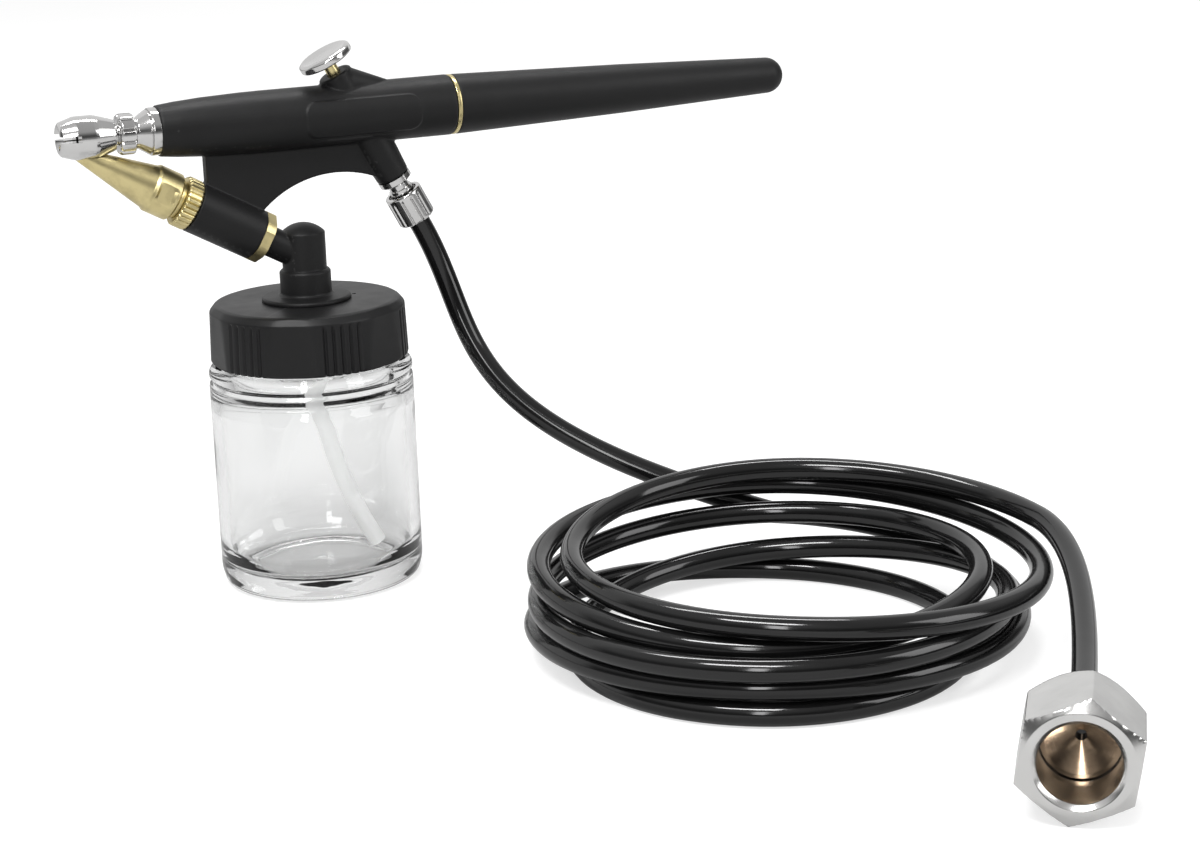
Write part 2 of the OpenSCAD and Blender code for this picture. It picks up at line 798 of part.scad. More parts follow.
body_shell();
handle_ring();
handle();
handle_stud();
nozzle_base();
nozzle_collar();
air_cap();
air_jet();
nozzle_seal();
trigger_button();
trigger_stem();
trigger_seal();
valve_seat();
valve_plunger();
valve_spring();
valve_screw();
valve_washer();
hose_nut();
hose();
supply_nipple();
supply_nut();
supply_washer();
paint_tip();
tip_needle();
tip_o_ring();
lock_ring();
fluid_tube();
rear_nut();
jar_elbow();
elbow_clip();
siphon_tube();
jar_lid();
lid_gasket();
glass_jar();
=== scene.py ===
"""Looks for the airbrush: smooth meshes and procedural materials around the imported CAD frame."""
import json
import math

import bmesh
import bpy
from mathutils import Matrix, Vector


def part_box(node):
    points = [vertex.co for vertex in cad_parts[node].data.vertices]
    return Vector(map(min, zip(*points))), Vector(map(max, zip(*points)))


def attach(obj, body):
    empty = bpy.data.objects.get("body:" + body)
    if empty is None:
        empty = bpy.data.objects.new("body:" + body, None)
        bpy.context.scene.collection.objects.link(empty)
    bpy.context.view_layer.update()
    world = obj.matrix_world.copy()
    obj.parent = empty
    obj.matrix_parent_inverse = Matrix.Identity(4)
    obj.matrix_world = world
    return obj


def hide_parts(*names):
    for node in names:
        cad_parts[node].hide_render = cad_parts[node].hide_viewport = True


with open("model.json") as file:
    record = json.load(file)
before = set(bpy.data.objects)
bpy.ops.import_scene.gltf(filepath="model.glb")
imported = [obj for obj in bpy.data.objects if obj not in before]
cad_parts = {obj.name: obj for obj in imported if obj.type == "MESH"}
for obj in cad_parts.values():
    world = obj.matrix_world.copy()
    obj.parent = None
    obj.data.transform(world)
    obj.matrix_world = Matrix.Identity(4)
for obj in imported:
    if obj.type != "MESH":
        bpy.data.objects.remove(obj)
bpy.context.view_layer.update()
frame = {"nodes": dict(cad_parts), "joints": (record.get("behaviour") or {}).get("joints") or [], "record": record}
NODES = frame["nodes"]
JOINTS = {j["name"]: j for j in frame["joints"]}
BODY_OF = {n: b for b, members in frame["record"]["behaviour"]["bodies"].items() for n in members}
SLOT_OF = {s["node"]: s["material_slot"] for s in frame["record"]["subparts"]}
MM = 0.001

# ---------------------------------------------------------------- axes of the object, from the frame


class Axis:
    """A line of the object. Pieces turned on it are drawn with local z in millimetres along it."""

    def __init__(self, origin, direction):
        self.origin = Vector(origin)
        self.direction = Vector(direction).normalized()

    def point(self, z_mm):
        return self.origin + self.direction * z_mm * MM

    def matrix(self):
        side = Vector((0, 1, 0)).cross(self.direction)
        if side.length < 0.1:
            side = Vector((1, 0, 0))
        side.normalize()
        up = self.direction.cross(side)
        turn = Matrix((side, up, self.direction)).transposed().to_4x4()
        return Matrix.Translation(self.origin) @ turn @ Matrix.Scale(MM, 4)


low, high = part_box("handle")
GUN_H = (low.z + high.z) / 2
gun_axis = Axis((0, 0, GUN_H), (1, 0, 0))

down_valve = Vector(JOINTS["hose_nut_turn"]["axis"])
on_valve = Vector(JOINTS["hose_nut_turn"]["pos_m"])
valve_axis = Axis(on_valve + down_valve * ((GUN_H - on_valve.z) / down_valve.z), down_valve)

tip_axis = Axis(JOINTS["jar_swing"]["pos_m"], JOINTS["jar_swing"]["axis"])
supply_axis = Axis(JOINTS["supply_nut_turn"]["pos_m"], JOINTS["supply_nut_turn"]["axis"])
jar_axis = Axis((0, 0, 0), (0, 0, 1))


def reach(node, axis, end):
    """Lowest (end 0) or highest (end 1) station of a CAD node along an axis, in millimetres."""
    stations = [(v.co - axis.origin).dot(axis.direction) / MM for v in NODES[node].data.vertices]
    return (min(stations), max(stations))[end]


def radius(node, axis):
    """Largest distance of a CAD node from an axis, in millimetres."""
    widest = 0
    for v in NODES[node].data.vertices:
        arm = v.co - axis.origin
        widest = max(widest, (arm - arm.dot(axis.direction) * axis.direction).length)
    return widest / MM


# ---------------------------------------------------------------- materials


def new_material(name):
    material = bpy.data.materials.new(name)
    material.use_nodes = True
    tree = material.node_tree
    shader = tree.nodes["Principled BSDF"]
    return material, tree, shader


def add_node(tree, kind, **values):
    node = tree.nodes.new(kind)
    for key, value in values.items():
        if key in node.inputs:
            node.inputs[key].default_value = value
        else:
            setattr(node, key, value)
    return node


def object_coords(tree):
    return add_node(tree, "ShaderNodeTexCoord").outputs["Object"]


def noise(tree, scale, detail=4, roughness=0.5, coords=None):
    node = add_node(tree, "ShaderNodeTexNoise")
    node.inputs["Scale"].default_value = scale
    node.inputs["Detail"].default_value = detail
    node.inputs["Roughness"].default_value = roughness
    tree.links.new(coords or object_coords(tree), node.inputs["Vector"])
    return node.outputs["Fac"]


def ramp(tree, source, low, high, dark=(0, 0, 0), light=(1, 1, 1)):
    node = add_node(tree, "ShaderNodeValToRGB")
    first, last = node.color_ramp.elements
    first.position, last.position = low, high
    first.color, last.color = (*dark, 1), (*light, 1)
    tree.links.new(source, node.inputs["Fac"])
    return node.outputs["Color"]


def span(tree, source, low, high):
    """Maps a 0 to 1 value to the given range."""
    node = add_node(tree, "ShaderNodeMapRange")
    node.inputs["To Min"].default_value = low
    node.inputs["To Max"].default_value = high
    tree.links.new(source, node.inputs["Value"])
    return node.outputs["Result"]


def bump(tree, shader, height, distance_mm, strength=1.0):
    """Adds a bump of the given depth on top of any bump that the shader already has."""
    node = add_node(tree, "ShaderNodeBump")
    node.inputs["Strength"].default_value = strength
    node.inputs["Distance"].default_value = distance_mm * MM
    tree.links.new(height, node.inputs["Height"])
    normal = shader.inputs["Normal"]
    if normal.is_linked:
        tree.links.new(normal.links[0].from_socket, node.inputs["Normal"])
    tree.links.new(node.outputs["Normal"], normal)


def along(tree, axis, stretch):
    """Coordinates that vary along an axis and hardly across it, for marks left by turning."""
    dot = add_node(tree, "ShaderNodeVectorMath", operation="DOT_PRODUCT")
    tree.links.new(object_coords(tree), dot.inputs[0])
    dot.inputs[1].default_value = axis.direction
    scale = add_node(tree, "ShaderNodeVectorMath", operation="SCALE")
    tree.links.new(object_coords(tree), scale.inputs[0])
    scale.inputs["Scale"].default_value = stretch
    combine = add_node(tree, "ShaderNodeVectorMath", operation="ADD")
    tree.links.new(dot.outputs["Value"], combine.inputs[0])
    tree.links.new(scale.outputs["Vector"], combine.inputs[1])
    return combine.outputs["Vector"]


def moulded(name, colour, worn, grain_mm, depth_mm, roughness):
    """Moulded black plastic: fine spark grain, soft cloudy sheen and slightly paler edges."""
    material, tree, shader = new_material(name)
    clouds = noise(tree, 90, 5)
    tint = add_node(tree, "ShaderNodeMix", data_type="RGBA")
    tree.links.new(ramp(tree, clouds, 0.3, 0.75), tint.inputs["Factor"])
    tint.inputs["A"].default_value = (*colour, 1)
    tint.inputs["B"].default_value = (*[c * 1.35 for c in colour], 1)
    edge = add_node(tree, "ShaderNodeMix", data_type="RGBA")
    pointy = add_node(tree, "ShaderNodeNewGeometry").outputs["Pointiness"]
    tree.links.new(ramp(tree, pointy, 0.52, 0.62), edge.inputs["Factor"])
    tree.links.new(tint.outputs["Result"], edge.inputs["A"])
    edge.inputs["B"].default_value = (*worn, 1)
    tree.links.new(edge.outputs["Result"], shader.inputs["Base Color"])
    tree.links.new(span(tree, noise(tree, 260, 6), *roughness), shader.inputs["Roughness"])
    shader.inputs["Specular IOR Level"].default_value = 0.25
    bump(tree, shader, noise(tree, 1 / (grain_mm * MM), 3), depth_mm)
    bump(tree, shader, noise(tree, 140, 2), 0.05, 0.5)
    return material


def plated(name, colour, roughness, scratch):
    """Polished plate: nearly a mirror, with faint haze and hairlines."""
    material, tree, shader = new_material(name)
    shader.inputs["Metallic"].default_value = 1
    haze = noise(tree, 180, 6)
    tint = add_node(tree, "ShaderNodeMix", data_type="RGBA")
    tree.links.new(ramp(tree, haze, 0.3, 0.7), tint.inputs["Factor"])
    tint.inputs["A"].default_value = (*colour, 1)
    tint.inputs["B"].default_value = (*[c * 0.9 for c in colour], 1)
    tree.links.new(tint.outputs["Result"], shader.inputs["Base Color"])
    tree.links.new(span(tree, haze, *roughness), shader.inputs["Roughness"])
    stretch = add_node(tree, "ShaderNodeMapping")
    stretch.inputs["Scale"].default_value = (300, 4000, 4000)
    tree.links.new(object_coords(tree), stretch.inputs["Vector"])
    bump(tree, shader, noise(tree, 1, 2, coords=stretch.outputs["Vector"]), scratch, 0.5)
    bump(tree, shader, noise(tree, 350, 2), 0.006, 0.4)
    return material


def turned_metal(name, colour, dull, axis, roughness, mark_mm, depth_mm):
    """Turned brass: fine rings left by the tool, with patches that have gone duller."""
    material, tree, shader = new_material(name)
    shader.inputs["Metallic"].default_value = 1
    patches = noise(tree, 240, 6, 0.6)
    tint = add_node(tree, "ShaderNodeMix", data_type="RGBA")
    tree.links.new(ramp(tree, patches, 0.42, 0.72), tint.inputs["Factor"])
    tint.inputs["A"].default_value = (*colour, 1)
    tint.inputs["B"].default_value = (*dull, 1)
    tree.links.new(tint.outputs["Result"], shader.inputs["Base Color"])
    tree.links.new(span(tree, patches, *roughness), shader.inputs["Roughness"])
    rings = noise(tree, 1 / (mark_mm * MM), 3, coords=along(tree, axis, 0.01))
    bump(tree, shader, rings, depth_mm)
    return material


def rubber_material(name):
    material, tree, shader = new_material(name)
    colour = ramp(tree, noise(tree, 400), 0.3, 0.7, (0.015, 0.015, 0.015), (0.03, 0.03, 0.03))
    tree.links.new(colour, shader.inputs["Base Color"])
    shader.inputs["Roughness"].default_value = 0.75
    bump(tree, shader, noise(tree, 4000, 3), 0.02)
    return material


def vinyl_material(name):
    """Extruded vinyl: deep black, glossy, with the long shallow waviness of a drawn tube."""
    material, tree, shader = new_material(name)
    colour = ramp(tree, noise(tree, 60, 4), 0.3, 0.8, (0.003, 0.003, 0.003), (0.007, 0.007, 0.0072))
    tree.links.new(colour, shader.inputs["Base Color"])
    tree.links.new(span(tree, noise(tree, 220, 5), 0.07, 0.16), shader.inputs["Roughness"])
    shader.inputs["Specular IOR Level"].default_value = 0.5
    bump(tree, shader, noise(tree, 110, 2), 0.12, 0.5)
    bump(tree, shader, noise(tree, 1500, 3), 0.004, 0.5)
    return material


def glass_material(name):
    """Clear moulded glass with a faint cool tint and gentle waviness."""
    material, tree, shader = new_material(name)
    tint = ramp(tree, noise(tree, 40, 2), 0.3, 0.7, (0.993, 0.998, 0.996), (1, 1, 1))
    tree.links.new(tint, shader.inputs["Base Color"])
    shader.inputs["Transmission Weight"].default_value = 1
    shader.inputs["IOR"].default_value = 1.5
    shader.inputs["Roughness"].default_value = 0.0
    bump(tree, shader, noise(tree, 110, 3), 0.16, 0.35)
    return material


def milky_glowing_material(name):
    """Natural polythene tube: milky and soft, and pale all through from a painted glow of its own colour."""
    material, tree, shader = new_material(name)
    colour = ramp(tree, noise(tree, 200, 3), 0.3, 0.7, (0.72, 0.73, 0.72), (0.8, 0.8, 0.8))
    tree.links.new(colour, shader.inputs["Base Color"])
    # Painted glow: the tube emits light in its own colour, so that it looks pale and lit.
    tree.links.new(colour, shader.inputs["Emission Color"])
    shader.inputs["Emission Strength"].default_value = 0.42
    shader.inputs["Specular IOR Level"].default_value = 0.3
    tree.links.new(span(tree, noise(tree, 700), 0.3, 0.45), shader.inputs["Roughness"])
    bump(tree, shader, noise(tree, 300, 2), 0.01)
    return material


BRASS, BRASS_DULL = (0.7, 0.6, 0.31), (0.46, 0.39, 0.2)
# The seat sits deep in the supply nut's bore: its brass is painted darker and browner, as painted shade of the
# bore.
SEAT_IN_SHADE, SEAT_IN_SHADE_DULL = (0.42, 0.31, 0.21), (0.22, 0.15, 0.1)
CHROME = (0.68, 0.675, 0.67)
MOULDING, MOULDING_WORN = (0.006, 0.006, 0.0062), (0.022, 0.022, 0.022)
LID_BLACK, LID_WORN = (0.0075, 0.0075, 0.0078), (0.03, 0.03, 0.031)
materials = {
    "black_plastic": moulded("black_plastic", MOULDING, MOULDING_WORN, 0.16, 0.012, (0.4, 0.54)),
    "lid_plastic": moulded("lid_plastic", LID_BLACK, LID_WORN, 0.3, 0.008, (0.34, 0.48)),
    "chrome": plated("chrome", CHROME, (0.08, 0.16), 0.0008),
    "nickel": plated("nickel", (0.72, 0.715, 0.705), (0.14, 0.24), 0.003),
    "spring_steel": plated("spring_steel", (0.6, 0.6, 0.62), (0.25, 0.35), 0.003),
    "brass": turned_metal("brass", BRASS, BRASS_DULL, gun_axis, (0.2, 0.36), 0.09, 0.006),
    "tip_brass": turned_metal("tip_brass", BRASS, BRASS_DULL, tip_axis, (0.26, 0.42), 0.09, 0.006),
    "shaded_seat_brass": turned_metal("shaded_seat_brass", SEAT_IN_SHADE, SEAT_IN_SHADE_DULL, supply_axis, (0.1, 0.2), 0.12, 0.01),
    "rubber": rubber_material("rubber"),
    "hose_vinyl": vinyl_material("hose_vinyl"),
    "tube_plastic": milky_glowing_material("tube_plastic"),
    "glass": glass_material("glass"),
}
TIP_BRASS_NODES = {"paint_tip", "lock_ring", "rear_nut", "fluid_tube"}


def material_for(node):
    if node in TIP_BRASS_NODES:
        return materials["tip_brass"]
    # The seat in the nut's bore takes the darker brass that paints the bore's shade.
    if node == "supply_nipple":
        return materials["shaded_seat_brass"]
    return materials[SLOT_OF[node]]


# ---------------------------------------------------------------- mesh tools


def set_smooth(mesh, angle_deg=38):
    mesh.shade_smooth()
    mesh.set_sharp_from_angle(angle=math.radians(angle_deg))


def finish_piece(obj, node, angle_deg=38):
    """Gives a new piece the CAD node's material, slot and body, and hides the node."""
    set_smooth(obj.data, angle_deg)
    obj.data.materials.clear()
    obj.data.materials.append(material_for(node))
    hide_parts(node)
    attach(obj, BODY_OF[node])
    return obj


def mesh_object(name, verts, faces):
    mesh = bpy.data.meshes.new(name)
    mesh.from_pydata(verts, [], faces)
    mesh.validate()
    obj = bpy.data.objects.new(name, mesh)
    bpy.context.scene.collection.objects.link(obj)
    work = bmesh.new()
    work.from_mesh(mesh)
    bmesh.ops.recalc_face_normals(work, faces=work.faces)
    work.to_mesh(mesh)
    work.free()
    return obj


def rounded(points, fillet, steps=4, closed=False):
    """Rounds the corners of a (radius, z) outline with small arcs, leaving points on the axis alone."""
    result = []
    count = len(points)
    for i, point in enumerate(points):
        here = Vector(point)
        if not closed and i in (0, count - 1):
            result.append(tuple(here))
            continue
        before, after = Vector(points[i - 1]) - here, Vector(points[(i + 1) % count]) - here
        cut = min(fillet, before.length * 0.45, after.length * 0.45)
        start, end = here + before.normalized() * cut, here + after.normalized() * cut
        for k in range(steps + 1):
            t = k / steps
            result.append(tuple(start * (1 - t) ** 2 + here * 2 * t * (1 - t) + end * t * t))
    return result


def dense(points, step):
    """Adds points so that no stretch of an outline is longer than step."""
    result = [points[0]]
    for a, b in zip(points, points[1:]):
        count = max(1, math.ceil(math.dist(a, b) / step))
        for k in range(1, count + 1):
            t = k / count
            result.append((a[0] + (b[0] - a[0]) * t, a[1] + (b[1] - a[1]) * t))
    return result


def lathe(name, axis, outline, segments=128, shape=None, closed=False):
    """Turns a (radius, z) outline in millimetres round an axis. shape(angle, r, z) may change the radius.
    An open outline starts and ends on the axis; a closed one is a ring's section."""
    verts, rings = [], []
    for r, z in outline:
        if r < 1e-6:
            rings.append([len(verts)] * segments)
            verts.append((0, 0, z))
            continue
        rings.append(list(range(len(verts), len(verts) + segments)))
        for k in range(segments):
            a = 2 * math.pi * k / segments
            rr = shape(a, r, z) if shape else r
            verts.append((rr * math.cos(a), rr * math.sin(a), z))
    pairs = list(zip(rings, rings[1:]))
    if closed:
        pairs.append((rings[-1], rings[0]))
    faces = []
    for a, b in pairs:
        for k in range(segments):
            n = (k + 1) % segments
            corners = []
            for v in (a[k], a[n], b[n], b[k]):
                if v not in corners:
                    corners.append(v)
            if len(corners) > 2:
                faces.append(corners)
    obj = mesh_object(name, verts, faces)
    obj.data.transform(axis.matrix())
    return obj


def sweep(name, path, r, sides=20, bore=0):
    """Round tube along a list of points in metres, carried along without twisting, with closed ends."""
    count = len(path)
    tangents = [(path[min(i + 1, count - 1)] - path[max(i - 1, 0)]).normalized() for i in range(count)]
    side = tangents[0].cross(Vector((0, 1, 0) if abs(tangents[0].z) > 0.9 else (0, 0, 1))).normalized()
    walls = [r] if not bore else [r, bore]
    verts, faces = [], []
    for point, tangent in zip(path, tangents):
        side = (side - side.dot(tangent) * tangent).normalized()
        up = tangent.cross(side)
        for wall in walls:
            for k in range(sides):
                a = 2 * math.pi * k / sides
                verts.append(point + (side * math.cos(a) + up * math.sin(a)) * wall * MM)
    block = sides * len(walls)
    for i in range(count - 1):
        for w in range(len(walls)):
            for k in range(sides):
                n = (k + 1) % sides
                a, b = i * block + w * sides, (i + 1) * block + w * sides
                faces.append([a + k, a + n, b + n, b + k])
    for start in (0, (count - 1) * block):
        if bore:
            for k in range(sides):
                n = (k + 1) % sides
                faces.append([start + k, start + n, start + sides + n, start + sides + k])
        else:
            faces.append([start + k for k in range(sides)])
    return mesh_object(name, verts, faces)


def applied(obj):
    """Replaces an object's mesh with its result after modifiers."""
    graph = bpy.context.evaluated_depsgraph_get()
    mesh = bpy.data.meshes.new_from_object(obj.evaluated_get(graph))
    obj.modifiers.clear()
    obj.data = mesh
    return obj


def softened(name, node, voxel_mm, passes):
    """Copy of a CAD node with every edge and inside corner rounded, as a moulding has them."""
    obj = bpy.data.objects.new(name, NODES[node].data.copy())
    bpy.context.scene.collection.objects.link(obj)
    weld = obj.modifiers.new("weld", "WELD")
    weld.merge_threshold = 1e-6
    remesh = obj.modifiers.new("remesh", "REMESH")
    remesh.mode = "VOXEL"
    remesh.voxel_size = voxel_mm * MM
    smooth = obj.modifiers.new("smooth", "SMOOTH")
    smooth.factor = 0.5
    smooth.iterations = passes
    return applied(obj)


def cut(obj, *tools):
    """Cuts tools out of an object and removes them."""
    for tool in tools:
        modifier = obj.modifiers.new("cut", "BOOLEAN")
        modifier.operation = "DIFFERENCE"
        modifier.solver = "EXACT"
        modifier.object = tool
        applied(obj)
        bpy.data.objects.remove(tool)
    return obj


def block(name, low_mm, high_mm):
    """Box between two corners in millimetres, as a cutting tool."""
    verts = [[(low_mm, high_mm)[i >> k & 1][k] * MM for k in range(3)] for i in range(8)]
    faces = [[0, 1, 3, 2], [4, 6, 7, 5], [0, 4, 5, 1], [2, 3, 7, 6], [0, 2, 6, 4], [1, 5, 7, 3]]
    return mesh_object(name, verts, faces)


def polygon_radius(angle, flat_r, sides, sharpness):
    """Radius of a rounded regular polygon at an angle; flat_r is the distance to its flats."""
    total = 0
    for k in range(sides):
        c = math.cos(angle - 2 * math.pi * k / sides)
        if c > 0:
            total += (c / flat_r) ** sharpness
    return total ** (-1 / sharpness)


def soft_min(a, b, blend):
    """The smaller of two lengths, with a rounded change-over of the given size."""
    h = max(0, min(1, 0.5 + 0.5 * (b - a) / blend))
    return b * (1 - h) + a * h - blend * h * (1 - h)


def groove_wave(angle, count, width_deg):
    """0 between grooves and 1 at the bottom of each of count grooves round the circle."""
    pitch = 360 / count
    offset = (math.degrees(angle) + pitch / 2) % pitch - pitch / 2
    share = abs(offset) / (width_deg / 2)
    return 0 if share > 1 else math.cos(share * math.pi / 2) ** 2


def ease(t):
    t = max(0, min(1, t))
    return t * t * (3 - 2 * t)


# ---------------------------------------------------------------- moulded black parts

BODY_VOXEL, BODY_PASSES = 0.17, 5
ELBOW_VOXEL, ELBOW_PASSES = 0.12, 5

finish_piece(softened("body_moulding", "body_shell", BODY_VOXEL, BODY_PASSES), "body_shell", 180)
finish_piece(softened("elbow_moulding", "jar_elbow", ELBOW_VOXEL, ELBOW_PASSES), "jar_elbow", 180)

HANDLE_SOCKET_R = 3.05
HANDLE_SOCKET_DEPTH = 8.5
handle_from, handle_to = reach("handle", gun_axis, 0), reach("handle", gun_axis, 1)
handle_r = radius("handle", gun_axis)
handle_mid = (4.55, 64)
handle_end_r = 3.4
dome = [
    (handle_end_r * math.sin(a), handle_to - handle_end_r + handle_end_r * math.cos(a))
    for a in [math.pi / 2 * k / 16 for k in range(15, -1, -1)]
]
handle_outline = rounded(
    [(0, handle_from + HANDLE_SOCKET_DEPTH), (HANDLE_SOCKET_R, handle_from + HANDLE_SOCKET_DEPTH),
     (HANDLE_SOCKET_R, handle_from), (handle_r - 0.02, handle_from), (handle_r, handle_from + 0.5),
     handle_mid, (handle_end_r, handle_to - handle_end_r)], 0.18, 4)
finish_piece(lathe("handle_moulding", gun_axis, handle_outline + dome, 128), "handle", 40)

# ---------------------------------------------------------------- chrome nozzle, trigger and nuts

ring_from, ring_to = reach("handle_ring", gun_axis, 0), reach("handle_ring", gun_axis, 1)
ring_r = radius("handle_ring", gun_axis)
ring = rounded([(3.05, ring_from), (ring_r, ring_from), (ring_r, ring_to), (3.05, ring_to)], 0.2, 4, True)
finish_piece(lathe("handle_band", gun_axis, ring, 128, closed=True), "handle_ring")

base_front, base_rear = reach("nozzle_base", gun_axis, 0), reach("nozzle_base", gun_axis, 1)
flange_r = radius("nozzle_base", gun_axis)
base = rounded(
    [(0.9, base_front), (1.8, base_front), (1.8, -32.6), (2, -32.5), (2, -29.5), (2.75, -29.5), (2.75, -29),
     (3.95, -27.1), (3.7, -26.98), (3.7, -26.85), (flange_r - 0.1, -26.85), (flange_r, -26.65),
     (flange_r, -25.45), (flange_r - 0.03, -25.41), (2.48, -25.41), (2.48, base_rear), (0.9, base_rear)],
    0.06, 3, True)
finish_piece(lathe("nozzle_stem", gun_axis, base, 128, closed=True), "nozzle_base")

COLLAR_TEETH = 10
collar_from, collar_to = reach("nozzle_collar", gun_axis, 0), reach("nozzle_collar", gun_axis, 1)
collar_r = radius("nozzle_collar", gun_axis)


def collar_shape(angle, r, z):
    return r - 0.45 * groove_wave(angle, COLLAR_TEETH, 13) if r > 2.9 else r


collar = rounded(
    [(2.01, collar_from), (collar_r - 0.35, collar_from), (collar_r, collar_from + 0.4),
     (collar_r, collar_to - 0.25), (collar_r - 0.25, collar_to), (2.01, collar_to)], 0.12, 3, True)
finish_piece(lathe("nozzle_ring", gun_axis, dense(collar, 0.4), 240, collar_shape, True), "nozzle_collar")

cap_from, cap_to = reach("air_cap", gun_axis, 0), reach("air_cap", gun_axis, 1)
cap_r = radius("air_cap", gun_axis)
cap = rounded(
    [(1.3, cap_from + 1.2), (1.9, cap_from), (2.5, cap_from), (3, cap_from + 0.35), (cap_r, cap_from + 2.9),
     (cap_r, -36.9), (cap_r - 0.1, -36.2), (2.85, cap_to - 0.4), (2.7, cap_to), (1.81, cap_to),
     (1.81, -36.05), (0.9, -36.05), (0.9, cap_from + 1.2)], 0.1, 3, True)
air_cap = lathe("air_cap_turning", gun_axis, cap, 160, closed=True)
CAP_SLOT = (-0.3, 0.8)
slot_low, slot_high = (GUN_H / MM + h for h in CAP_SLOT)
slot = block("slot", (cap_from - 1, -5, slot_low), (cap_from + 3.4, 5, slot_high))
nose_at = reach("paint_tip", tip_axis, 0)
NOSE_WAY = 0.75
way = lathe("way", tip_axis, [(0, nose_at - 3), (NOSE_WAY, nose_at - 3), (NOSE_WAY, nose_at),
                              (NOSE_WAY + 2.51, nose_at + 12), (0, nose_at + 12)], 48)
finish_piece(cut(air_cap, slot, way), "air_cap", 30)

button_top, button_under = reach("trigger_button", valve_axis, 0), reach("trigger_button", valve_axis, 1)
button_r = radius("trigger_button", valve_axis)
button = rounded(
    [(0, button_top + 0.5), (2.2, button_top + 0.42), (button_r - 1.4, button_top + 0.18),
     (button_r - 0.6, button_top), (button_r, button_top + 0.4), (button_r, button_top + 1.35),
     (button_r - 0.2, button_top + 1.6), (2.4, button_under - 0.15), (1.9, button_under), (1, button_under),
     (1, button_under - 1.1), (0, button_under - 1.1)], 0.25, 5)
finish_piece(lathe("trigger_dish", valve_axis, button, 160), "trigger_button", 50)

NUT_FLUTES = 12
nut_from, nut_to = reach("hose_nut", valve_axis, 0), reach("hose_nut", valve_axis, 1)
nut_r = radius("hose_nut", valve_axis)


def nut_shape(angle, r, z):
    return r - 0.24 * groove_wave(angle, NUT_FLUTES, 9) * ease((z - nut_from - 0.7) / 0.4) if r > 3 else r


nut = rounded(
    [(2.05, nut_from + 1.3), (2.75, nut_from + 1.3), (2.75, nut_from), (nut_r - 0.15, nut_from),
     (nut_r, nut_from + 0.2), (nut_r, nut_to - 0.25), (nut_r - 0.25, nut_to), (2.05, nut_to)], 0.12, 3, True)
finish_piece(lathe("hose_nut_turning", valve_axis, dense(nut, 0.35), 288, nut_shape, True), "hose_nut", 30)

# ---------------------------------------------------------------- brass tip


LOCK_GROOVES = 30
lock_from, lock_to = reach("lock_ring", tip_axis, 0), reach("lock_ring", tip_axis, 1)
lock_r = radius("lock_ring", tip_axis)


def lock_shape(angle, r, z):
    return r - 0.28 * groove_wave(angle, LOCK_GROOVES, 6) if r > 4 else r


lock = rounded(
    [(3.2, lock_from), (lock_r - 0.3, lock_from), (lock_r, lock_from + 0.35), (lock_r, lock_to - 0.35),
     (lock_r - 0.3, lock_to), (3.2, lock_to)], 0.1, 3, True)
finish_piece(lathe("lock_ring_turning", tip_axis, dense(lock, 0.5), 480, lock_shape, True), "lock_ring", 30)

TIP_FLAT = 3.95
tip_r = radius("paint_tip", tip_axis)
tip_rear = reach("paint_tip", tip_axis, 1)
cone_base = -31.6
flat_from, flat_to = cone_base + 0.6, cone_base + 3.8


def tip_shape(angle, r, z):
    """Two spanner flats across the shoulder."""
    if r < TIP_FLAT or not flat_from < z < flat_to:
        return r
    side = abs(math.sin(angle))
    return min(r, TIP_FLAT / side) if side > 0.1 else r


tip = rounded(
    [(0.26, nose_at), (0.4, nose_at), (tip_r - 0.35, cone_base), (tip_r, cone_base + 0.5), (tip_r, -26.95),
     (tip_r - 0.3, -26.6), (3.45, -26.6), (3.45, tip_rear), (3.2, tip_rear), (3.2, -27.9), (3.9, -27.9),
     (3.9, -28.7), (3.2, -28.7), (3.2, -30.6), (2.9, -30.6), (0.26, -46)], 0.09, 3, True)
tip = dense(tip, 0.5)
finish_piece(lathe("paint_tip_turning", tip_axis, tip, 192, tip_shape, True), "paint_tip", 25)

# ---------------------------------------------------------------- jar, lid and tube

jar_r = radius("glass_jar", jar_axis)
jar_top = reach("glass_jar", jar_axis, 1)
GLASS_T = 1.9
NECK_R = 16
WALL_TOP = 38.4
BEAD_TOP = 41.2
inside_r = jar_r - GLASS_T
jar_outline = rounded(
    [(0, 0.9), (jar_r - 6.5, 0.65), (jar_r - 4.2, 0.02), (jar_r - 2.4, 0.02), (jar_r - 0.7, 0.7), (jar_r, 3.2),
     (jar_r, WALL_TOP - 0.5), (jar_r - 0.7, WALL_TOP), (jar_r - 0.7, WALL_TOP + 0.25), (jar_r, WALL_TOP + 0.9),
     (jar_r - 0.1, BEAD_TOP - 0.7), (jar_r - 1.1, BEAD_TOP), (NECK_R, BEAD_TOP), (NECK_R, jar_top - 0.4),
     (NECK_R - 0.4, jar_top), (NECK_R - 2.2, jar_top), (NECK_R - 2.4, jar_top - 0.4), (NECK_R - 2.4, WALL_TOP),
     (inside_r - 0.6, WALL_TOP - 2.4), (inside_r, WALL_TOP - 5), (inside_r, 7.5), (inside_r - 1.2, 4.4),
     (inside_r - 4.5, 3.2), (0, 3.7)], 0.9, 6)


def jar_shape(angle, r, z):
    """Blown glass is a little uneven inside."""
    if 2 < z < 34 and r < inside_r + 0.1:
        return r + 0.07 * math.sin(2 * angle + 0.11 * z) * math.sin(0.19 * z + 1) * min(1, r / 4)
    return r


finish_piece(lathe("glass_jar_blown", jar_axis, dense(jar_outline, 1), 192, jar_shape), "glass_jar", 180)

LID_GROUPS, LID_GROOVES = 6, 5
LID_GROUP_START, LID_STEP = 32, 5.2
LID_FLAT = 17.45
lid_from, lid_to = reach("jar_lid", jar_axis, 0), reach("jar_lid", jar_axis, 1)
lid_r = radius("jar_lid", jar_axis)


